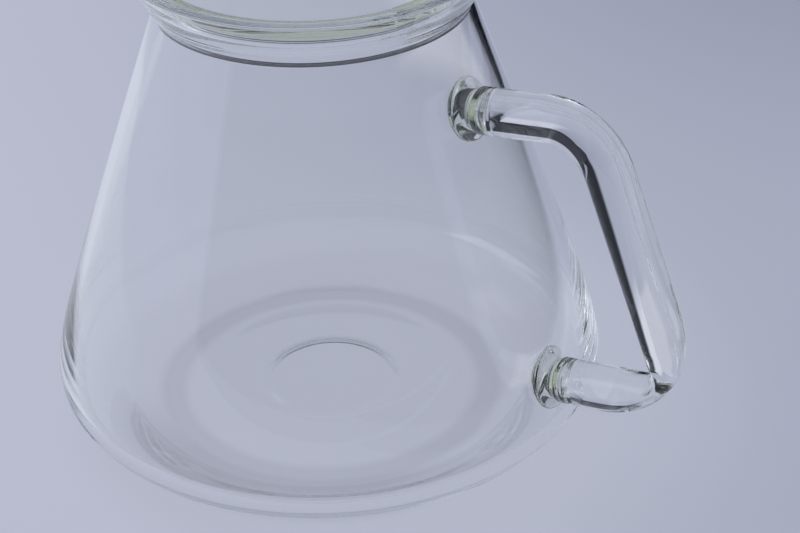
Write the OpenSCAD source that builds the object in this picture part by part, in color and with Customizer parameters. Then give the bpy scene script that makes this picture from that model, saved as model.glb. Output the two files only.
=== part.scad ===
// Coffee server: a blown glass carafe with a bent glass rod handle and a clear lid.
// Millimetres, +Z up. The origin is the middle of the ring it stands on, and the
// handle points along +X.

/* [Vessel] */
// Widest diameter, near the bottom
body_d = 125; // [110:0.5:140]
// Height of the widest line above the table
widest_h = 14.2; // [12:0.1:18]
// Diameter at the crease where the flank meets the collar
neck_d = 66.8; // [60:0.2:74]
// Height of that crease
neck_h = 100.5; // [85:0.5:115]
// Thickness of the glass
wall = 2; // [1.4:0.1:2.6]

/* [Collar] */
// Diameter where the collar turns steeper
collar_d = 73; // [70:0.2:76]
// Height of that turn above the crease
collar_rise = 4.5; // [3.5:0.1:5.5]
// Diameter of the collar just below its rounded lip
lip_d = 78.2; // [76:0.2:84]
// Height of that line above the crease
lip_rise = 10.1; // [9:0.1:14]
// Radius of the crease at the neck
crease_r = 1.6; // [1:0.1:3]
// Radius of the turn in the collar
collar_r = 12; // [6:0.5:16]

/* [Base] */
// Mean diameter of the ring that it stands on
foot_d = 74.4; // [66:0.2:82]
// Width of the flat of that ring
foot_w = 2.4; // [1.2:0.1:4]
// Slope of the base outside the ring, in degrees
base_slope = 19; // [12:0.5:22]
// Diameter of the round dimple in the middle
dimple_d = 30.6; // [24:0.2:38]
// Height of the dimple's crown above the table
dimple_h = 3.4; // [2.5:0.1:5]
// Height of the pan around the dimple above the table
pan_h = 1.5; // [1:0.1:2.2]
// Width of the rounded step round the dimple
dimple_step = 4.4; // [3:0.1:6]

/* [Handle] */
// Diameter of the glass rod
rod_d = 10; // [8:0.1:12]
// Height where the upper leg meets the wall
upper_joint_h = 84.3; // [78:0.1:88]
// Height where the lower leg meets the wall
lower_joint_h = 24.7; // [22:0.1:30]
// Distance from the axis to the upper corner of the rod's centre line
upper_reach = 68; // [62:0.1:74]
// Height of the upper corner
upper_corner_h = 88.9; // [84:0.1:94]
// Distance from the axis to the lower corner of the rod's centre line
lower_reach = 91.6; // [86:0.1:98]
// Height of the lower corner
lower_corner_h = 30.1; // [26:0.1:36]
// Bend radius at the upper corner, on the centre line
upper_bend_r = 13.5; // [10:0.1:16]
// Bend radius at the lower corner, on the centre line
lower_bend_r = 15.4; // [11:0.1:17]
// Radius of the pinched corner inside the lower bend
lower_inner_r = 2; // [1:0.1:5]

/* [Welds] */
// Diameter of the gather of glass that joins each end of the rod to the wall
weld_d = 13; // [12:0.1:15]
// Height of the gather above the wall
weld_h = 2.4; // [1.6:0.1:3]
// How far the wall swells inward behind the gather
swell_h = 1.2; // [0.6:0.1:2]
// Diameter of the waist between the gather and the rod
waist_d = 8.8; // [7:0.1:9.6]
// Distance from the wall to the end of the waist, along the rod
waist_end = 5; // [4:0.1:7]

/* [Lid] */
// Clearance between the lid and the collar, square to the glass
lid_gap = 0.3; // [0.2:0.05:0.6]
// Distance from the top of the lip down to the top of the lid
lid_drop = 0.9; // [0.4:0.1:2]
// Thickness of the lid's plate
plate_t = 2.6; // [1.8:0.1:3.5]
// Depth of the skirt below the plate
skirt_depth = 2.4; // [1.5:0.1:3.5]
// Thickness of the skirt at its foot
skirt_wall = 1.6; // [1.2:0.1:2.4]
// Width of each notch in the lid's edge, at the edge
notch_w = 10; // [6:0.5:14]
// Depth of each notch behind the foot of the lid's rim
notch_depth = 0.6; // [0.3:0.1:1.2]
// Number of notches
notch_count = 2; // [1:1:4]
// How far the lid is turned from the handle, in degrees
lid_turn = -17; // [-90:1:90]
// Radius on the lid's edges
lid_edge_r = 0.6; // [0.3:0.1:0.9]

/* [Hidden] */
$fn = 96;
glass_tint = [0.86, 0.9, 0.93, 0.4];
weld_tint = [0.78, 0.85, 0.84, 0.6];
resin_tint = [0.86, 0.9, 0.82, 0.5];

corner_steps = 10;
flank_steps = 22;
curve_steps = 8;
lip_steps = 12;
body_r = body_d / 2;
neck_r = neck_d / 2;
foot_in = (foot_d - foot_w) / 2;
foot_out = (foot_d + foot_w) / 2;
step_in = (dimple_d - dimple_step) / 2;
step_out = (dimple_d + dimple_step) / 2;
// Past any face that a cut has to clear
overrun = wall;
// How far a leg of the rod runs into a bend, and how much thinner than the bend it is
joint_lap = 0.05;
joint_step = 0.08;

// The rounded corner under the widest line: it is tangent to the sloping base and
// upright where the body is widest.
slope_h = (body_r - foot_out) * tan(base_slope);
corner_r = (widest_h - slope_h) / tan((90 - base_slope) / 2);
corner_c = [body_r - corner_r, widest_h];
corner_start = corner_c + corner_r * [sin(base_slope), -cos(base_slope)];
// Handles of the base's curve and of the flank's curve, as shares of their lengths
base_pull_share = 0.35;
flank_start_share = 0.06;
flank_pull_share = 0.6;
// Most of a side that a fillet takes up, and the least radius of an inner fillet
fillet_share = 0.45;
least_r = 0.2;

function unit(v) = v / norm(v);
function bezier(a, b, c, d, steps) =
    [for (i = [1:steps]) let (t = i / steps, s = 1 - t)
        s * s * s * a + 3 * s * s * t * b + 3 * s * t * t * c + t * t * t * d];
function arc(centre, r, from, to, steps) =
    [for (i = [0:steps]) let (t = from + (to - from) * i / steps)
        centre + r * [cos(t), sin(t)]];
// A step with level ends, from one point to the next
function level_step(a, b, steps) =
    bezier(a, [(a.x + b.x) / 2, a.y], [(a.x + b.x) / 2, b.y], b, steps);
// The same with upright ends
function upright_step(a, b, steps) =
    bezier(a, [a.x, (a.y + b.y) / 2], [b.x, (a.y + b.y) / 2], b, steps);
// The arc of radius r that rounds the corner at p between a and b, no larger than the
// sides have room for
function rounded(a, p, b, r, steps) =
    let (u = unit(a - p), v = unit(b - p), half = acos(u * v) / 2,
        room = fillet_share * min(norm(a - p), norm(b - p)),
        fit = min(r, room * tan(half)),
        centre = p + unit(u + v) * fit / sin(half),
        start = p + u * fit / tan(half) - centre,
        end = p + v * fit / tan(half) - centre,
        from = atan2(start.y, start.x),
        turn = (atan2(end.y, end.x) - from + 540) % 360 - 180)
    arc(centre, fit, from, from + turn, steps);

// Outer outline of the glass, from the axis under the base to just below the lip
widest_p = [body_r, widest_h];
neck_p = [neck_r, neck_h];
collar_p = [collar_d / 2, neck_h + collar_rise];
lip_p = [lip_d / 2, neck_h + lip_rise];
flank_low = widest_p + [0, flank_start_share * (neck_h - widest_h)];
flank_high = neck_p + flank_pull_share * (flank_low - neck_p);
flank_line = bezier(widest_p, flank_low, flank_high, neck_p, flank_steps);
base_reach = norm(corner_start - [foot_out, 0]);
base_line = concat(
    [[0, dimple_h], [step_in, dimple_h]],
    level_step([step_in, dimple_h], [step_out, pan_h], curve_steps),
    level_step([step_out, pan_h], [foot_in, 0], curve_steps),
    [[foot_out, 0]],
    bezier([foot_out, 0], [foot_out + base_pull_share * base_reach, 0],
        corner_start - base_pull_share * base_reach * [cos(base_slope), sin(base_slope)],
        corner_start, curve_steps));
corner_line = arc(corner_c, corner_r, base_slope - 90, 0, corner_steps);
crease_from = flank_line[flank_steps - 2];
crease_line = rounded(crease_from, neck_p, collar_p, crease_r, curve_steps);
collar_line = rounded(neck_p, collar_p, lip_p, collar_r, curve_steps);
low_line = concat(base_line, [for (i = [1:corner_steps]) corner_line[i]], flank_line);
outer_line = concat(
    [for (p = low_line) if (p.y < crease_line[0].y) p], crease_line, collar_line, [lip_p]);

// The glass is equally thick, so its inner outline is the outer one moved in by the wall
function left_of(v) = [-v.y, v.x];
function moved(line, by) =
    [for (i = [0:len(line) - 1])
        let (a = line[max(i - 1, 0)], b = line[min(i + 1, len(line) - 1)])
        line[i] + by * left_of(unit(b - a))];
// The corner at p, moved in with both of its sides
function mitred(a, p, b) =
    let (m = left_of(unit(p - a)), n = left_of(unit(b - p)))
    p + wall * (m + n) / (1 + m * n);
// The radius at p once it is moved in: larger where the line turns away from the inside
function inner_r(a, p, b, r) =
    max(least_r, left_of(p - a) * (b - p) < 0 ? r + wall : r - wall);
neck_in = mitred(crease_from, neck_p, collar_p);
collar_in = mitred(neck_p, collar_p, lip_p);
lip_in = lip_p + wall * left_of(unit(lip_p - collar_p));
crease_inner = rounded(crease_from + neck_in - neck_p, neck_in, collar_in,
    inner_r(crease_from, neck_p, collar_p, crease_r), curve_steps);
collar_inner = rounded(neck_in, collar_in, lip_in,
    inner_r(neck_p, collar_p, lip_p, collar_r), curve_steps);
inner_line = concat(
    [for (p = moved(low_line, wall)) if (p.y < crease_inner[0].y) p],
    crease_inner, collar_inner, [lip_in]);
function reversed(line) = [for (i = [len(line) - 1:-1:0]) line[i]];

// The lip is a half round from the outer line to the inner one, whose ends it shares
lip_lean = atan2(lip_p.y - collar_p.y, lip_p.x - collar_p.x);
lip_c = (lip_p + lip_in) / 2;
lip_line = [for (i = [1:lip_steps - 1]) let (t = lip_lean - 90 + 180 * i / lip_steps)
    lip_c + wall / 2 * [cos(t), sin(t)]];
lip_top = lip_c.y + wall / 2;

// Outer radius of the wall at a height, and how far its normal points up there
flank_radii = [for (p = flank_line) [p.y, p.x]];
function wall_r(h) = lookup(h, flank_radii);
function wall_lean(h) = atan2(wall_r(h - wall) - wall_r(h + wall), 2 * wall);

// Where each end of the handle meets the wall
upper_root = [wall_r(upper_joint_h), upper_joint_h];
lower_root = [wall_r(lower_joint_h), lower_joint_h];

module glass_body() {
    color(glass_tint)
    union() {
        rotate_extrude()
            polygon(concat(outer_line, lip_line, reversed(inner_line)));
        swell(upper_root);
        swell(lower_root);
    }
}

// Places what stands on the wall at a root, turned up by a lean
module on_wall(root, lean) {
    translate([root.x, 0, root.y])
    rotate([0, 90 - lean, 0])
        children();
}

// A low dome of revolution, whose foot reaches a depth below its base
module dome(d, h, depth) {
    rotate_extrude()
        polygon(concat([[0, -depth], [d / 2, -depth]],
            [for (i = [0:corner_steps]) let (t = 90 * i / corner_steps)
                [d / 2 * cos(t), h * sin(t)]]));
}

// The wall swells inward behind a gather
module swell(root) {
    on_wall(root, wall_lean(root.y) + 180)
    translate([0, 0, wall])
        dome(rod_d, swell_h, wall / 2);
}

// What the glass and its hollow fill, for cutting what is fused onto the wall
module body_envelope() {
    rotate_extrude()
        polygon(concat(outer_line, [[0, lip_p.y]]));
}

// The handle's centre line runs wall, upper corner, lower corner, wall. It is drawn
// lying down, with y for height, and stood up afterwards.
upper_corner = [upper_reach, upper_corner_h];
lower_corner = [lower_reach, lower_corner_h];
leg_r = (rod_d - joint_step) / 2;

// A straight leg, which runs a hair further at both ends so that it joins the bends
module leg(from, to, r) {
    way = unit(to - from);
    start = from - joint_lap * way;
    translate([start.x, start.y, 0])
    rotate([0, 90, atan2(way.y, way.x)])
        cylinder(h = norm(to - from) + 2 * joint_lap, r = r);
}

// The bend that rounds corner p between a and b
module bend(a, p, b, bend_r, r) {
    u = unit(a - p);
    v = unit(b - p);
    half = acos(u * v) / 2;
    centre = p + unit(u + v) * bend_r / sin(half);
    start = p + v * bend_r / tan(half) - centre;
    translate([centre.x, centre.y, 0])
    rotate([0, 0, atan2(start.y, start.x)])
    rotate_extrude(angle = 180 - 2 * half)
        translate([bend_r, 0])
            circle(r = r);
}

// Where a bend of radius r at corner p begins, towards a
function bend_end(a, p, b, r) =
    let (u = unit(a - p), v = unit(b - p), half = acos(u * v) / 2)
    p + u * r / tan(half);

module bent_rod() {
    rotate([90, 0, 0]) {
        leg(upper_root, bend_end(upper_root, upper_corner, lower_corner, upper_bend_r), leg_r);
        bend(upper_root, upper_corner, lower_corner, upper_bend_r, rod_d / 2);
        leg(bend_end(lower_corner, upper_corner, upper_root, upper_bend_r),
            bend_end(upper_corner, lower_corner, lower_root, lower_bend_r), leg_r);
        intersection() {
            bend(upper_corner, lower_corner, lower_root, lower_bend_r, rod_d / 2);
            tight_sleeve(lower_inner_r + rod_d / 2);
        }
        leg(bend_end(lower_root, lower_corner, upper_corner, lower_bend_r), lower_root, leg_r);
    }
}

// A rod around the lower corner, a hair thicker and bent tighter. The round bend keeps
// only what lies in it, so the bend is pinched inside and stays round outside.
module tight_sleeve(bend_r) {
    leg(upper_corner, bend_end(upper_corner, lower_corner, lower_root, bend_r),
        rod_d / 2 + joint_step);
    bend(upper_corner, lower_corner, lower_root, bend_r, rod_d / 2 + 2 * joint_step);
    leg(bend_end(lower_root, lower_corner, upper_corner, bend_r), lower_root,
        rod_d / 2 + joint_step);
}

// Lean of the leg that runs from a root to a corner
function leg_lean(root, corner) = atan2(corner.y - root.y, corner.x - root.x);

// The gather is a low dome square to the wall
module gather(root) {
    on_wall(root, wall_lean(root.y))
        dome(weld_d, weld_h, overrun);
}

// The waist runs from inside the gather to the rod, along the rod
module waist(root, corner) {
    low = [leg_r, 0];
    middle = [waist_d / 2, (weld_h + waist_end) / 2];
    high = [leg_r, waist_end];
    on_wall(root, leg_lean(root, corner))
    rotate_extrude()
        polygon(concat([[0, 0], low], upright_step(low, middle, curve_steps),
            upright_step(middle, high, curve_steps), [[0, waist_end]]));
}

module weld(root, corner) {
    color(weld_tint)
    difference() {
        union() {
            gather(root);
            waist(root, corner);
        }
        body_envelope();
    }
}

module upper_weld() {
    weld(upper_root, upper_corner);
}

module lower_weld() {
    weld(lower_root, lower_corner);
}

// The room that the waist and the gather take up on the rod's axis
module weld_room(root, corner) {
    on_wall(root, leg_lean(root, corner))
    translate([0, 0, -overrun])
        cylinder(h = waist_end + overrun, d = weld_d);
}

module handle() {
    color(glass_tint)
    difference() {
        bent_rod();
        weld_room(upper_root, upper_corner);
        weld_room(lower_root, lower_corner);
    }
}

// The lid's rim is as steep as the collar inside, and stands clear of it, and of all of
// the glass above it, by the gap
lid_top = lip_top - lid_drop;
plate_bottom = lid_top - plate_t;
lid_bottom = plate_bottom - skirt_depth;
function cleared(line) = [for (p = line) [p.y, p.x - lid_gap / sin(lip_lean)]];
rim_room = cleared(concat(crease_inner, collar_inner, [lip_in]));
function rim_r(h) =
    min(concat([lookup(h, rim_room)],
        [for (p = concat(rim_room, cleared(lip_line))) if (p[0] > h) p[1]]));

module notch() {
    edge = rim_r(lid_top);
    reach = edge - rim_r(lid_bottom) + notch_depth;
    narrow = notch_w / 2 - reach / 2;
    translate([0, 0, lid_bottom - overrun])
    linear_extrude(height = lid_top - lid_bottom + 2 * overrun)
        polygon([
            [edge - reach, -narrow],
            [edge + reach, -narrow - reach],
            [edge + reach, narrow + reach],
            [edge - reach, narrow]]);
}

module lid() {
    edge_low = rim_r(lid_bottom);
    edge_high = rim_r(lid_top - lid_edge_r);
    rim_line = [for (i = [0:curve_steps - 1])
        let (h = lid_bottom + (lid_top - lid_edge_r - lid_bottom) * i / curve_steps) [rim_r(h), h]];
    color(resin_tint)
    difference() {
        rotate_extrude()
            polygon(concat(
                [[0, plate_bottom], [edge_low - skirt_wall, plate_bottom],
                    [edge_low - skirt_wall, lid_bottom]],
                rim_line,
                arc([edge_high - lid_edge_r, lid_top - lid_edge_r], lid_edge_r, 0, 90, curve_steps),
                [[0, lid_top]]));
        for (i = [0:notch_count - 1])
            rotate([0, 0, lid_turn + 360 * i / notch_count])
                notch();
    }
}

glass_body();
handle();
upper_weld();
lower_weld();
lid();
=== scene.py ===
import math
import bpy
import numpy as np
from mathutils import Matrix, Vector


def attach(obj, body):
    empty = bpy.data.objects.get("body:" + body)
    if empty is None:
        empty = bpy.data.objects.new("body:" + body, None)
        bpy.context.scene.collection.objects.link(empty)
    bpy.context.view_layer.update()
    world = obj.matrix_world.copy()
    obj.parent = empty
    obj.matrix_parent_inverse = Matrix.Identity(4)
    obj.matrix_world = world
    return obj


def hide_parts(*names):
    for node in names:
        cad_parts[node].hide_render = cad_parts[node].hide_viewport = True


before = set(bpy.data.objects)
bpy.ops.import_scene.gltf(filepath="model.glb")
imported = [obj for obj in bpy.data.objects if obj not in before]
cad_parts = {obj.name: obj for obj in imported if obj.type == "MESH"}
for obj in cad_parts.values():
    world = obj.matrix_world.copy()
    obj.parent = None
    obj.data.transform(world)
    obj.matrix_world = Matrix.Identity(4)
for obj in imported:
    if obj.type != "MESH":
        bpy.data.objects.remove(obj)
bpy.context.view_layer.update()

mm = 0.001
scene = bpy.context.scene


# outlines are arrays of (radius, height) in mm
def unit(v):
    v = np.asarray(v, float)
    return v / np.linalg.norm(v)


def bezierLine(a, b, c, d, steps):  # leaves out the first point
    t = np.linspace(0, 1, steps + 1)[1:, None]
    s = 1 - t
    a, b, c, d = (np.asarray(p, float) for p in (a, b, c, d))
    return s**3 * a + 3 * s * s * t * b + 3 * s * t * t * c + t**3 * d


def arcLine(centre, radius, start, end, steps):  # angles in degrees
    t = np.radians(np.linspace(start, end, steps + 1))
    return np.asarray(centre) + radius * np.stack([np.cos(t), np.sin(t)], 1)


def levelStep(a, b, steps):  # leaves a level and comes level into b
    mid = (a[0] + b[0]) / 2
    return bezierLine(a, (mid, a[1]), (mid, b[1]), b, steps)


def cornerOf(a, p, b, radius):  # both ways out of p, half the angle between them, the centre of its round
    a, p, b = (np.asarray(q, float) for q in (a, p, b))
    u, v = unit(a - p), unit(b - p)
    half = math.acos(float(u @ v)) / 2
    return p, u, v, half, p + unit(u + v) * radius / math.sin(half)


def roundedCorner(a, p, b, radius, steps):
    p, u, v, half, centre = cornerOf(a, p, b, radius)
    start = p + u * radius / math.tan(half) - centre
    end = p + v * radius / math.tan(half) - centre
    a0, a1 = math.atan2(start[1], start[0]), math.atan2(end[1], end[0])
    turn = (a1 - a0 + math.pi * 3) % (math.pi * 2) - math.pi
    return arcLine(centre, radius, math.degrees(a0), math.degrees(a0 + turn), steps)


def movedIn(line, by):  # every point goes left of the way the line runs
    ahead = np.vstack([line[1:], line[-1:]])
    behind = np.vstack([line[:1], line[:-1]])
    way = ahead - behind
    way /= np.linalg.norm(way, axis=1)[:, None]
    return line + by * np.stack([-way[:, 1], way[:, 0]], 1)


def evenAngles(count):
    return np.arange(count) * 2 * math.pi / count


def meshPiece(name, verts, faces, smooth=True):
    mesh = bpy.data.meshes.new(name)
    mesh.from_pydata([tuple(v) for v in np.asarray(verts) * mm], [], faces)
    mesh.validate()
    mesh.update()
    if smooth:
        mesh.polygons.foreach_set("use_smooth", [True] * len(mesh.polygons))
    piece = bpy.data.objects.new(name, mesh)
    scene.collection.objects.link(piece)
    return piece


def closedMesh(rings):  # rings of equal length, closed by a fan at each end
    rings = np.asarray(rings)
    count, around = rings.shape[:2]
    verts = np.vstack([rings.reshape(-1, 3), rings[0].mean(0)[None], rings[-1].mean(0)[None]])
    faces = []
    for i in range(count - 1):
        for j in range(around):
            k = (j + 1) % around
            faces.append((i * around + j, i * around + k, (i + 1) * around + k, (i + 1) * around + j))
    low, high = count * around, count * around + 1
    for j in range(around):
        k = (j + 1) % around
        faces.append((low, k, j))
        faces.append((high, (count - 1) * around + j, (count - 1) * around + k))
    return verts, faces


def turnedRings(profile, angles):  # each radius is a number, or one number for each angle
    return [np.stack([r * np.cos(angles), r * np.sin(angles), np.full(len(angles), z)], 1) for r, z in profile]


vessel = {
    "bodyR": 62.5, "widestH": 14.2, "neckR": 33.4, "neckH": 100.2, "wall": 2.0,
    "collarR": 36.5, "collarH": 105.0, "lipR": 39.1, "lipH": 110.6, "creaseRound": 1.6, "collarRound": 12.0,
    "footIn": 36.0, "footOut": 38.4, "baseSlope": 19.0, "basePull": 0.5,
    "dimpleR": 14.8, "dimpleStep": 5.0, "dimpleH": 1.5, "panH": 0.5, "panTo": 24.0,
    "cornerWall": 0.8, "cornerFrom": 41.0, "cornerOver": 8.0, "cornerH": 9.0, "cornerSpread": 15.0,
    "neckWall": 2.5, "thickFrom": 50.0, "lipKept": 2.5, "creaseSoft": 1.0, "creaseReach": 12.0,
    "flankStart": 0.06, "flankPull": 0.6, "swellH": 1.2, "swellR": 6.4,
    "turns": 360, "flankSteps": 90,
}


def thickenedNeck(outer, inner):  # the wall gathers glass towards the neck, and its crease is soft inside
    v = vessel
    gained = np.clip((outer[:, 1] - v["thickFrom"]) / (v["neckH"] - v["thickFrom"]), 0, 1)
    above = np.clip((outer[:, 1] - v["neckH"]) / (v["lipH"] - v["neckH"] - v["lipKept"]), 0, 1)
    more = (v["neckWall"] - v["wall"]) * gained**2 * (1 - above * above * (3 - 2 * above))
    inner = inner + more[:, None] * (inner - outer) / v["wall"]
    way = np.concatenate([[0], np.cumsum(np.linalg.norm(np.diff(inner, axis=0), axis=1))])
    crease = way[np.argmin(np.abs(outer[:, 1] - v["neckH"]))]
    step = 0.1
    fine = np.arange(0, way[-1], step)
    line = np.stack([np.interp(fine, way, inner[:, i]) for i in (0, 1)], 1)
    half = int(v["creaseSoft"] / step)
    weight = np.hanning(2 * half + 3)[1:-1]
    weight /= weight.sum()
    padded = np.vstack([line[:1].repeat(half, 0), line, line[-1:].repeat(half, 0)])
    soft = np.stack([np.convolve(padded[:, i], weight, "valid") for i in (0, 1)], 1)
    near = np.clip(1.6 - np.abs(fine - crease) / (3 * v["creaseSoft"]), 0, 1)[:, None]
    line = line * (1 - near) + soft * near
    keep = np.abs(fine - crease) < v["creaseReach"]
    low, high = way < crease - v["creaseReach"], way > crease + v["creaseReach"]
    return np.vstack([inner[low], line[keep][::4], inner[high] if high.any() else inner[-1:]])


def vesselOutline():
    v = vessel
    slope = math.radians(v["baseSlope"])
    slopeH = (v["bodyR"] - v["footOut"]) * math.tan(slope)
    cornerR = (v["widestH"] - slopeH) / math.tan((math.pi / 2 - slope) / 2)
    centre = np.array([v["bodyR"] - cornerR, v["widestH"]])
    start = centre + cornerR * np.array([math.sin(slope), -math.cos(slope)])
    foot = np.array([v["footOut"], 0.0])
    pull = v["basePull"] * np.linalg.norm(start - foot)
    stepIn, stepOut = v["dimpleR"] - v["dimpleStep"] / 2, v["dimpleR"] + v["dimpleStep"] / 2
    widest, neck = np.array([v["bodyR"], v["widestH"]]), np.array([v["neckR"], v["neckH"]])
    collar, lip = np.array([v["collarR"], v["collarH"]]), np.array([v["lipR"], v["lipH"]])
    flankLow = widest + [0, v["flankStart"] * (v["neckH"] - v["widestH"])]
    flankHigh = neck + v["flankPull"] * (flankLow - neck)
    flank = bezierLine(widest, flankLow, flankHigh, neck, v["flankSteps"])
    low = np.vstack([
        [[0, v["dimpleH"]], [stepIn * 0.5, v["dimpleH"]], [stepIn, v["dimpleH"]]],
        levelStep((stepIn, v["dimpleH"]), (stepOut, v["panH"]), 14),
        [[v["panTo"] * 0.8, v["panH"]], [v["panTo"], v["panH"]]],
        levelStep((v["panTo"], v["panH"]), (v["footIn"], 0), 22),
        [[(v["footIn"] + v["footOut"]) / 2, 0], foot],
        bezierLine(foot, foot + [pull, 0], start - pull * np.array([math.cos(slope), math.sin(slope)]), start, 22),
        arcLine(centre, cornerR, v["baseSlope"] - 90, 0, 22)[1:],
        flank])
    crease = roundedCorner(flank[-8], neck, collar, v["creaseRound"], 12)
    turn = roundedCorner(neck, collar, lip, v["collarRound"], 8)
    outer = np.vstack([low[low[:, 1] < crease[0][1]], crease, turn, [(turn[-1] + lip) / 2, lip]])
    gained = np.clip((outer[:, 0] - v["cornerFrom"]) / v["cornerOver"], 0, 1)
    gained = gained * np.exp(-((outer[:, 1] - v["cornerH"]) / v["cornerSpread"]) ** 2)
    inner = thickenedNeck(outer, movedIn(outer, (v["wall"] + v["cornerWall"] * gained)[:, None]))
    way = unit(lip - collar)
    lean = math.degrees(math.atan2(way[1], way[0]))
    lipRound = arcLine((outer[-1] + inner[-1]) / 2, v["wall"] / 2, lean - 90, lean + 90, 18)[1:-1]
    return outer, lipRound, inner, flank


outerLine, lipRound, innerLine, flankLine = vesselOutline()


def wallR(h):
    return float(np.interp(h, flankLine[:, 1], flankLine[:, 0]))


def wallLean(h):  # how far the wall's normal points up, in radians
    return math.atan2(wallR(h - 2) - wallR(h + 2), 4)


def makeVessel():
    v = vessel
    line = np.vstack([outerLine, lipRound, innerLine[::-1]])
    verts, faces = closedMesh(turnedRings(line[1:-1], evenAngles(v["turns"])))
    inside = verts[(len(outerLine) + len(lipRound) - 1) * v["turns"]:-2]
    for h in (handle["upperJointH"], handle["lowerJointH"]):  # the wall swells behind each weld
        lean = wallLean(h)
        out = np.array([math.cos(lean), 0, math.sin(lean)])
        rel = inside - np.array([wallR(h), 0, h])
        away = np.linalg.norm(rel - (rel @ out)[:, None] * out, axis=1)
        share = np.clip(1 - (away / v["swellR"]) ** 2, 0, 1)
        share[inside[:, 0] < 0] = 0
        inside -= (v["swellH"] * share**2 * (1 + 0.2 * (1 - share)))[:, None] * out
    return meshPiece("glassBody", verts, faces)


handle = {
    "rodR": 5.0, "upperJointH": 84.3, "lowerJointH": 24.7,
    "upperCorner": (68.0, 88.9), "lowerCorner": (91.6, 30.1),
    "upperBend": 13.5, "lowerBend": 15.4, "lowerInner": 2.0, "pinchPath": 11.0, "seamSoft": 1.9,
    "around": 72, "legStep": 1.0, "bendSteps": 40,
}


# the handle's paths are (x, z) in mm, in the plane y = 0
def bendStations(a, p, b, radius, steps):  # points and ways along a bend, ends included
    u, centre = cornerOf(a, p, b, radius)[1::3]
    line = roundedCorner(a, p, b, radius, steps)
    out = (line - centre) / radius
    way = np.stack([-out[:, 1], out[:, 0]], 1)
    return line, -way if way[0] @ -u < 0 else way


def pathDistance(points, a, p, b, radius):  # to the bend at p and both its legs
    p, u, v, half, centre = cornerOf(a, p, b, radius)
    rel = points - p
    best = np.full(len(points), np.inf)
    for way in (u, v):
        along = np.clip(rel @ way, radius / math.tan(half), 80)
        best = np.minimum(best, np.linalg.norm(rel - along[:, None] * way, axis=1))
    rel = points - centre
    reach = np.linalg.norm(rel, axis=1)
    facing = (rel / np.maximum(reach, 1e-9)[:, None]) @ -unit(u + v)
    return np.where(facing > math.cos(math.pi / 2 - half), np.minimum(best, np.abs(reach - radius)), best)


def pinchedRing(centre, side, angles, corner):
    # The bend's outside follows the wide path and its inside the tight one. The seam
    # between them is rounder where the two paths are further apart.
    rod = handle["rodR"]
    paths = (handle["lowerBend"], handle["lowerInner"] + rod)
    apart = float(np.ptp([pathDistance(centre[None], *corner, r)[0] for r in paths]))
    soft = max(1e-4, min(handle["seamSoft"], 1.1 * apart))
    lo, hi = np.zeros(len(angles)), np.full(len(angles), rod * 1.6)
    for _ in range(34):  # halves the range of each radius until it lies on the surface
        mid = (lo + hi) / 2
        flat = centre + (mid * np.cos(angles))[:, None] * side
        wide, tight = (np.hypot(pathDistance(flat, *corner, r), mid * np.sin(angles)) - rod for r in paths)
        h = np.clip(0.5 + 0.5 * (wide - tight) / soft, 0, 1)
        out = tight + (wide - tight) * h + soft * h * (1 - h) > 0
        hi, lo = np.where(out, mid, hi), np.where(out, lo, mid)
    return (lo + hi) / 2


def rodRings():
    v = handle
    upperRoot, lowerRoot = (np.array([wallR(h), h]) for h in (v["upperJointH"], v["lowerJointH"]))
    upper, lower = np.array(v["upperCorner"]), np.array(v["lowerCorner"])
    outUpper, outLower = unit(upper - upperRoot), unit(lower - lowerRoot)
    lowerCorner = (upper, lower, lowerRoot)
    bendA, wayA = bendStations(upperRoot, upper, lower, v["upperBend"], v["bendSteps"])
    bendB, wayB = bendStations(*lowerCorner, v["pinchPath"], v["bendSteps"] * 2)
    wideIn, wideOut = roundedCorner(*lowerCorner, v["lowerBend"], 4)[[0, -1]]
    stations = []

    def leg(a, b, withFirst, withLast):
        count = max(2, int(np.linalg.norm(b - a) / v["legStep"]))
        for i in range(0 if withFirst else 1, count + 1 if withLast else count):
            stations.append((a + (b - a) * i / count, unit(b - a)))

    leg(upperRoot + outUpper * weld["waistEnd"], bendA[0], True, False)
    stations.extend(zip(bendA, wayA))
    leg(bendA[-1], wideIn, False, True)
    pinchFrom = len(stations) - 2
    leg(wideIn, bendB[0], False, False)
    stations.extend(zip(bendB, wayB))
    leg(bendB[-1], wideOut, False, False)
    pinchTo = len(stations)
    leg(wideOut, lowerRoot + outLower * weld["waistEnd"], True, True)
    rings = []
    angles = evenAngles(v["around"])
    for i, (p, way) in enumerate(stations):
        side = np.array([-way[1], way[0]])
        radii = np.full(len(angles), v["rodR"])
        if pinchFrom <= i <= pinchTo:
            radii = pinchedRing(p, side, angles, lowerCorner)
        flat = p + (radii * np.cos(angles))[:, None] * side
        rings.append(np.stack([flat[:, 0], radii * np.sin(angles), flat[:, 1]], 1))
    for index, way in ((0, -outUpper), (-1, -outLower)):  # each end is a plug that lies a little inside its weld
        ring = rings[index]
        centre = ring.mean(0)
        shrunk = centre + (ring - centre) * (1 - weld["inset"] / v["rodR"])
        step = weld["overlap"] * np.array([way[0], 0, way[1]])
        plug = [shrunk + step * 0.1, shrunk + step]
        rings = plug[::-1] + rings if index == 0 else rings + plug
    return rings


def makeHandle():
    verts, faces = closedMesh(rodRings())
    return meshPiece("handleRod", verts, [f[::-1] for f in faces])


weld = {
    "gatherR": 6.7, "rimH": 0.35, "waistR": 4.3, "waistH": 1.6, "waistEnd": 3.3,
    "dip": 0.18, "overlap": 0.2, "inset": 0.12,
}


def onWall(root, out, up, a, b):  # points of the wall's outside, a along up and b across from the root
    base = root + a[:, None] * up + b[:, None] * np.array([0, 1.0, 0])
    t = np.zeros(len(b))
    for _ in range(12):
        p = base + t[:, None] * out
        r = np.interp(p[:, 2], flankLine[:, 1], flankLine[:, 0])
        t += (r - np.hypot(p[:, 0], p[:, 1])) / out[0]
    return base + t[:, None] * out


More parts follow.
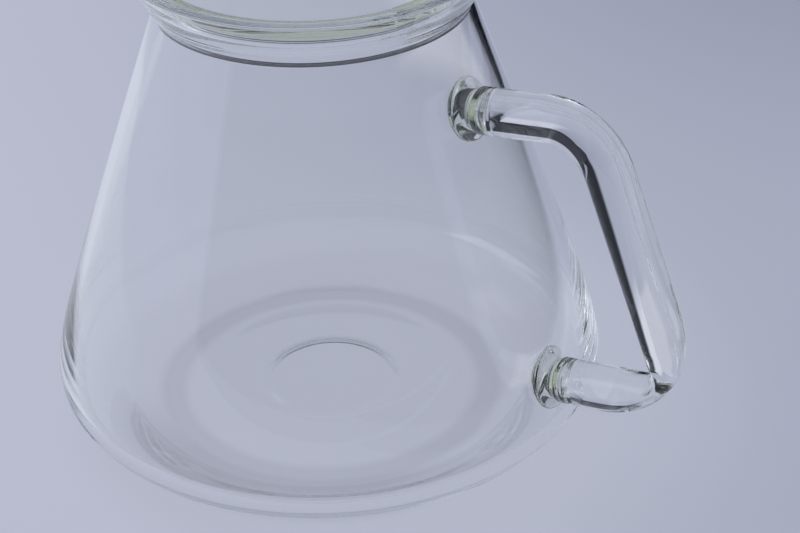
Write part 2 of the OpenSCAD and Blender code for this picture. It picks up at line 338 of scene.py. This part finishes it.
def makeWeld(name, h, corner):
    lean = wallLean(h)
    root = np.array([wallR(h), 0, h])
    out = np.array([math.cos(lean), 0, math.sin(lean)])
    up = np.array([-math.sin(lean), 0, math.cos(lean)])
    way = unit(np.array(corner) - root[::2])
    rodOut, rodUp = np.array([way[0], 0, way[1]]), np.array([-way[1], 0, way[0]])
    gather, rim, dip = weld["gatherR"], weld["rimH"], weld["dip"]
    waist, waistH, end, rod = weld["waistR"], weld["waistH"], weld["waistEnd"], handle["rodR"]
    # (radius, height over the wall): out of the wall, over the gather, in at the waist
    profile = np.vstack([
        [[gather * 0.5, -dip], [gather * 0.96, -dip], [gather * 1.02, -dip * 0.4]],
        bezierLine((gather * 1.02, -dip * 0.4), (gather * 1.01, rim * 0.5), (gather, rim),
                   (gather * 0.97, rim * 1.3), 8),
        bezierLine((gather * 0.97, rim * 1.3), (gather * 0.88, rim * 2.0), (waist, waistH * 0.45),
                   (waist, waistH), 18),
        bezierLine((waist, waistH), (waist, waistH * 1.4), (rod, end * 0.78), (rod, end), 14)])
    angles = evenAngles(handle["around"])
    rings = []
    for r, height in profile:
        a, b = r * np.cos(angles), r * np.sin(angles)
        domed = onWall(root, out, up, a, b) + height * out
        straight = root + a[:, None] * rodUp + b[:, None] * np.array([0, 1.0, 0]) + height * rodOut
        t = min(1.0, max(0.0, height / waistH / 1.3))
        t = t * t * (3 - 2 * t)
        rings.append(domed * (1 - t) + straight * t)
    verts, faces = closedMesh(rings)
    return meshPiece(name, verts, [f[::-1] for f in faces])


lid = {
    "gap": 0.3, "drop": 1.6, "plate": 3.7, "skirt": 0.6, "skirtWall": 1.6,
    "notchWide": 10.0, "notchDeep": 0.6, "notches": 2, "turn": -17.0, "notchSoft": 0.35,
    "topRound": 0.6, "footRound": 0.35, "innerRound": 0.4, "turns": 720,
}


def lidLevels():  # heights of the top, the underside and the foot, and the radius that still lifts straight out
    top = float(lipRound[:, 1].max()) - lid["drop"]
    under = top - lid["plate"]
    foot = under - lid["skirt"]
    lean = unit([vessel["lipR"] - vessel["collarR"], vessel["lipH"] - vessel["collarH"]])
    collar = innerLine[innerLine[:, 1] > vessel["neckH"] - 2.2]
    room = np.interp(np.linspace(foot, top, 40), collar[:, 1], collar[:, 0]) - lid["gap"] / lean[1]
    return top, under, foot, room.min()


def lidRim(edge, angles):  # the rim's radius at each angle, straight across each notch
    flat = edge - lid["notchDeep"]
    narrow = lid["notchWide"] / 2 - (edge - flat) / 2
    cut = np.full(len(angles), 99.0)
    for i in range(lid["notches"]):
        middle = math.radians(lid["turn"]) + i * 2 * math.pi / lid["notches"]
        off = np.abs((angles - middle + math.pi) % (2 * math.pi) - math.pi)
        near = np.minimum(off, 0.6)
        ahead, side = flat / np.cos(near), (flat - narrow) / (np.cos(near) - np.sin(near))
        cut = np.where(off < 0.6, np.minimum(cut, np.where(flat * np.tan(near) < narrow, ahead, side)), cut)
    soft = lid["notchSoft"]
    share = np.clip(0.5 + 0.5 * (cut - edge) / soft, 0, 1)
    return np.maximum(cut * (1 - share) + edge * share - soft * share * (1 - share), flat - 0.05)


def quarterRound(radius, start, end, count):  # how far a round stays back from its corner, across and along
    a = np.radians(np.linspace(start, end, count))
    return list(zip(radius * (1 - np.cos(a)), radius * (1 - np.sin(a))))


def makeLid():
    v = lid
    top, under, foot, edge = lidLevels()
    angles = evenAngles(v["turns"])
    rim = lidRim(edge, angles)
    inner = edge - v["skirtWall"]
    profile = [(inner * 0.5, under)]
    profile += [(inner - b, under - a) for a, b in quarterRound(v["innerRound"], 0, 90, 8)]
    profile += [(inner + a, foot + b) for a, b in quarterRound(v["footRound"], 0, 90, 6)]
    profile += [(rim - a, foot + b) for a, b in quarterRound(v["footRound"], 90, 0, 6)]
    profile += [(rim, h) for h in np.linspace(foot + v["footRound"], top - v["topRound"], 12)[1:-1]]
    profile += [(rim - a, top - b) for a, b in quarterRound(v["topRound"], 0, 90, 9)]
    profile += [(inner * 0.98, top), (inner * 0.5, top)]
    verts, faces = closedMesh(turnedRings(profile, angles))
    return meshPiece("lidDisc", verts, faces)


print("shaping the glass")
glassBody = makeVessel()
handleRod = makeHandle()
upperWeld = makeWeld("upperWeld", handle["upperJointH"], handle["upperCorner"])
lowerWeld = makeWeld("lowerWeld", handle["lowerJointH"], handle["lowerCorner"])
lidDisc = makeLid()


def newMaterial(name):
    mat = bpy.data.materials.new(name)
    mat.use_nodes = True
    mat.node_tree.nodes.clear()
    return mat, mat.node_tree


def addNode(tree, kind, inputs=None, **settings):  # an input is a value, or the output that feeds it
    made = tree.nodes.new("ShaderNode" + kind)
    for key, value in settings.items():
        setattr(made, key, value)
    for key, value in (inputs or {}).items():
        if isinstance(value, bpy.types.NodeSocket):
            tree.links.new(value, made.inputs[key])
        else:
            made.inputs[key].default_value = value
    return made.outputs


def maths(tree, kind, a, b):
    return addNode(tree, "Math", {0: a, 1: b}, operation=kind)["Value"]


def ramp(tree, value, low, high, kind="SMOOTHSTEP"):  # 0 at low and 1 at high, and low may be the larger
    ends = {"From Min": min(low, high), "From Max": max(low, high)}
    if high < low:
        ends.update({"To Min": 1.0, "To Max": 0.0})
    return addNode(tree, "MapRange", {"Value": value, **ends}, interpolation_type=kind)["Result"]


def blended(tree, share, a, b):
    return addNode(tree, "Mix", {0: share, 6: a, 7: b}, data_type="RGBA")[2]


glass = {"ior": 1.474, "waveScale": 8.0, "waveDetail": 1.5, "waveTall": 0.22}

finishes = {  # tint, what the glass lets through and how densely it takes the rest, height of its waves in metres
    "blownGlass": ((0.998, 0.999, 1.0, 1), (0.70, 0.80, 0.72, 1), 3.0, 0.000025),
    "rodGlass": ((0.998, 0.999, 1.0, 1), (0.70, 0.80, 0.72, 1), 3.0, 0.00001),
    "weldGlass": ((0.998, 0.999, 1.0, 1), (0.66, 0.76, 0.22, 1), 34.0, 0.00001),
    "lidResin": ((0.995, 0.997, 0.993, 1), (0.80, 0.84, 0.60, 1), 14.0, 0.00001),
}


def clearGlass(name, tint, through, density, waveHeight):
    mat, tree = newMaterial(name)
    coords = addNode(tree, "TexCoord")["Object"]
    drawn = addNode(tree, "Mapping", {"Vector": coords, "Scale": (1.0, 1.0, glass["waveTall"])})["Vector"]
    waves = {"Vector": drawn, "Scale": glass["waveScale"], "Detail": glass["waveDetail"]}
    height = addNode(tree, "TexNoise", waves)["Fac"]
    normal = addNode(tree, "Bump", {"Height": height, "Strength": 1.0, "Distance": waveHeight})["Normal"]
    surface = addNode(tree, "BsdfPrincipled", {
        "Base Color": tint, "Roughness": 0.0, "IOR": glass["ior"], "Transmission Weight": 1.0, "Normal": normal})
    volume = addNode(tree, "VolumeAbsorption", {"Color": through, "Density": density})
    addNode(tree, "OutputMaterial", {"Surface": surface["BSDF"], "Volume": volume["Volume"]})
    return mat


print("making the glass")
materials = {name: clearGlass(name, *finish) for name, finish in finishes.items()}

for piece, node, body, slot, finish in (
        (glassBody, "glass_body", "vessel", "clear_glass", "blownGlass"),
        (handleRod, "handle", "vessel", "clear_glass", "rodGlass"),
        (upperWeld, "upper_weld", "vessel", "weld_glass", "weldGlass"),
        (lowerWeld, "lower_weld", "vessel", "weld_glass", "weldGlass"),
        (lidDisc, "lid", "lid", "clear_resin", "lidResin")):
    piece.data.materials.append(materials[finish])
    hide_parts(node)
    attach(piece, body)


camera = {
    "place": (0.23498, -0.30619, 0.27763), "azimuth": 35.0, "pitch": 32.48, "roll": -1.52, "lens": 90.05,
}

turnZ = Matrix.Rotation(math.radians(camera["azimuth"]), 3, "Z")  # from right, away and up to the frame's axes


def makeCamera():
    pitch, roll = math.radians(camera["pitch"]), math.radians(camera["roll"])
    ahead = turnZ @ Vector((0, math.cos(pitch), -math.sin(pitch)))
    right = turnZ @ Vector((1, 0, 0))
    above = right.cross(ahead)
    right, above = (right * math.cos(roll) + above * math.sin(roll),
                    above * math.cos(roll) - right * math.sin(roll))
    data = bpy.data.cameras.new("camera")
    data.sensor_width, data.lens = 36.0, camera["lens"]
    data.clip_start, data.clip_end = 0.01, 50
    eye = bpy.data.objects.new("camera", data)
    m = Matrix.Identity(4)
    for row in range(3):
        m[row][:] = right[row], above[row], -ahead[row], camera["place"][row]
    eye.matrix_world = m
    scene.collection.objects.link(eye)
    scene.camera = eye


table = {  # lengths in metres, seen from the camera: right, away, or round the middle of the foot
    "half": 4.0, "left": (0.484, 0.507, 0.620, 1), "right": (0.381, 0.413, 0.515, 1),
    "far": (0.280, 0.298, 0.402, 1), "across": (-0.12, 0.15), "pool": (0.045, 0.115),
    "farAcross": (-0.25, 0.155), "farAway": (0.03, 0.30), "glow": 0.92,
    "footShade": 0.14, "ring": (0.0325, 0.0365, 0.0385, 0.0425),
    "lapShade": 0.20, "lap": (0.036, 0.040, 0.046, 0.053), "lapFront": (0.0, -0.030), "lapRight": (0.034, 0.008),
}


def makeTable():
    t = table
    h = t["half"] / mm
    floor = meshPiece("floor", [(-h, -h, 0), (h, -h, 0), (h, h, 0), (-h, h, 0)], [(0, 1, 2, 3)], False)
    mat, tree = newMaterial("paleTable")
    coords = addNode(tree, "TexCoord")["Object"]
    spin = (0, 0, -math.radians(camera["azimuth"]))
    turned = addNode(tree, "Mapping", {"Vector": coords, "Rotation": spin}, vector_type="POINT")["Vector"]
    place = addNode(tree, "SeparateXYZ", {"Vector": turned})
    distance = addNode(tree, "VectorMath", {0: turned}, operation="LENGTH")["Value"]

    def band(start, full, fullTo, end):  # round the middle of the foot
        return maths(tree, "MULTIPLY", ramp(tree, distance, start, full), ramp(tree, distance, end, fullTo))

    # painted light falloff on the table: pale round the object and to its left, greyer to the right, and darker far
    # off at the right
    across = maths(tree, "MULTIPLY", ramp(tree, place["X"], *t["across"]), ramp(tree, distance, *t["pool"]))
    farAcross = ramp(tree, place["X"], *t["farAcross"], "LINEAR")
    farShare = maths(tree, "MULTIPLY", maths(tree, "MULTIPLY", farAcross, farAcross),
                     ramp(tree, place["Y"], *t["farAway"]))
    shade = blended(tree, farShare, blended(tree, across, t["left"], t["right"]), t["far"])
    # soft shade under the ring foot and before it
    lapSide = maths(tree, "MULTIPLY", ramp(tree, place["Y"], *t["lapFront"]), ramp(tree, place["X"], *t["lapRight"]))
    lap = maths(tree, "MULTIPLY", band(*t["lap"]), lapSide)
    dimmed = maths(tree, "MAXIMUM", maths(tree, "MULTIPLY", band(*t["ring"]), t["footShade"]),
                   maths(tree, "MULTIPLY", lap, t["lapShade"]))
    kept = maths(tree, "SUBTRACT", 1.0, dimmed)
    shaded = addNode(tree, "VectorMath", {0: shade, "Scale": kept}, operation="SCALE")["Vector"]
    rays = addNode(tree, "LightPath")
    seen = maths(tree, "MAXIMUM", rays["Is Camera Ray"], rays["Is Glossy Ray"])
    seen = maths(tree, "MAXIMUM", seen, rays["Is Transmission Ray"])
    mix = addNode(tree, "MixShader", {
        0: maths(tree, "MULTIPLY", seen, t["glow"]),
        1: addNode(tree, "BsdfDiffuse", {"Color": shaded})["BSDF"],
        2: addNode(tree, "Emission", {"Color": shaded})["Emission"]})
    addNode(tree, "OutputMaterial", {"Surface": mix["Shader"]})
    floor.data.materials.append(mat)


studio = {
    "world": (0.42, 0.45, 0.55, 1), "worldStrength": 0.55,
    "softboxPlace": (-0.5, 0.35, 1.3), "softboxAim": (0, 0, 0.05), "softboxSize": 1.2, "softboxPower": 16,
    "dark": (0.005, 0.006, 0.01, 1), "room": (0.025, 0.028, 0.036, 1), "patch": (0.53, 0.55, 0.65, 1),
    "side": (0.62, 0.65, 0.75, 1), "bright": (0.66, 0.69, 0.78, 1), "window": (1.5, 1.6, 1.8, 1),
    "highWindow": (0.98, 1.03, 1.16, 1),
}


def makeWorld():
    world = bpy.data.worlds.new("studio")
    scene.world = world
    world.use_nodes = True
    tree = world.node_tree
    tree.nodes.clear()
    mix = addNode(tree, "MixShader", {
        0: addNode(tree, "LightPath")["Is Diffuse Ray"],
        1: addNode(tree, "Background", {"Color": studio["world"], "Strength": 1.0})["Background"],
        2: addNode(tree, "Background", {"Color": (1, 1, 1, 1), "Strength": studio["worldStrength"]})["Background"]})
    addNode(tree, "OutputWorld", {"Surface": mix["Shader"]})


def makeSoftbox():
    data = bpy.data.lights.new("topSoftbox", "AREA")
    data.shape = "RECTANGLE"
    data.size = data.size_y = studio["softboxSize"]
    data.energy = studio["softboxPower"]
    lamp = bpy.data.objects.new("topSoftbox", data)
    lamp.location = turnZ @ Vector(studio["softboxPlace"])
    lamp.rotation_euler = (Vector(studio["softboxAim"]) - lamp.location).to_track_quat("-Z", "Y").to_euler()
    lamp.visible_glossy = False  # the glass shows the cards instead
    lamp.visible_transmission = False
    scene.collection.objects.link(lamp)


# The glass shows these cards, which give it its dark and bright streaks; the camera never sees them.
# Those lying just over the floor are painted light and shade on the table, and the bright ones glow
# but light nothing else. Each has its colour, the share of it over which its edge fades, whether only
# thick glass shows it, and its corners in mm as seen from the camera: right, away, up.
cards = {
    "lightLeft": ("side", 0.15, False, [(-58, -60, 1), (-300, -60, 1), (-300, 280, 1), (-112, 280, 1),
                                        (-88, 180, 1)]),
    "lightBack": ("patch", 0.4, False, [(20, 165, 1.2), (76, 150, 1.2), (84, 300, 1.2), (14, 300, 1.2)]),
    "brightRight": ("bright", 0.4, True, [(94, -40, 1), (146, -40, 1), (146, 60, 1), (106, 60, 1)]),
    "darkRight": ("dark", 0.035, True, [(122, -700, 1.5), (1500, -700, 1.5), (1500, 300, 1.5), (172, 300, 1.5),
                                        (134, 100, 1.5)]),
    "darkSide": ("dark", 0.1, False, [(140, 205, 1.6), (330, 205, 1.6), (330, 300, 1.6), (150, 300, 1.6)]),
    "darkBehind": ("dark", 0.1, False, [(-110, 300, -20), (300, 300, -20), (300, 300, 60), (-110, 300, 60)]),
    "darkBehindHigh": ("dark", 0.1, True, [(-170, 300, 30), (1500, 300, 30), (1500, 300, 135), (-170, 300, 135)]),
    "lightFacet": ("patch", 0.3, False, [(68, 12, 0.6), (108, 20, 0.6), (110, 50, 0.6), (72, 42, 0.6)]),
    "lightTip": ("patch", 0.4, False, [(41, -8, 0.6), (55, -8, 0.6), (58, 8, 0.6), (45, 8, 0.6)]),
    "sideWindow": ("window", 0.4, False, [(-900, -420, 250), (-900, 420, 250), (-700, 420, 900), (-700, -420, 900)]),
    "highWindow": ("highWindow", 0.55, False, [(-980, 330, 650), (-520, 760, 650), (-420, 640, 1050),
                                               (-860, 240, 1050)]),
    "darkRoom": ("room", 0.0, True, [(-1400, -900, 0), (1400, -900, 0), (1400, -900, 700), (-1400, -900, 700)]),
    "darkRoomRight": ("room", 0.0, True, [(1000, -900, 0), (1000, 300, 0), (1000, 300, 700), (1000, -900, 700)]),
}


def makeCard(name, colour, soft, thickOnly, corners):
    outer = [Vector(c) for c in corners]
    count = len(outer)
    middle = sum(outer, Vector()) / count
    verts, faces, fade = outer, [tuple(range(count))], [1.0] * count
    if soft:
        verts = outer + [c.lerp(middle, soft) for c in outer]
        faces = [tuple(range(count, 2 * count))]
        faces += [(i, (i + 1) % count, count + (i + 1) % count, count + i) for i in range(count)]
        fade = [0.0] * count + [1.0] * count
    piece = meshPiece(name, [tuple(turnZ @ c) for c in verts], faces, False)
    piece.data.attributes.new("fade", "FLOAT", "POINT").data.foreach_set("value", fade)
    mat, tree = newMaterial(name)
    shown = addNode(tree, "Attribute", attribute_name="fade")["Fac"]
    if thickOnly:  # the rod, the welds and reflections show it, and the four surfaces of the two walls don't
        depth = addNode(tree, "LightPath")["Transmission Depth"]
        walls = addNode(tree, "Math", {0: depth, 1: 4.0, 2: 0.5}, operation="COMPARE")["Value"]
        shown = maths(tree, "MULTIPLY", shown, maths(tree, "SUBTRACT", 1.0, walls))
    mix = addNode(tree, "MixShader", {
        0: shown,
        1: addNode(tree, "BsdfTransparent")["BSDF"],
        2: addNode(tree, "Emission", {"Color": studio[colour]})["Emission"]})
    addNode(tree, "OutputMaterial", {"Surface": mix["Shader"]})
    mat.cycles.emission_sampling = "NONE"
    piece.data.materials.append(mat)
    piece.visible_camera = False
    piece.visible_diffuse = False
    piece.visible_shadow = False


print("setting the table, the light and the camera")
makeTable()
makeWorld()
for name, look in cards.items():
    makeCard(name, *look)
makeSoftbox()
makeCamera()

scene.view_settings.view_transform = "Standard"
scene.cycles.max_bounces = 64
scene.cycles.transmission_bounces = 64
scene.cycles.glossy_bounces = 64
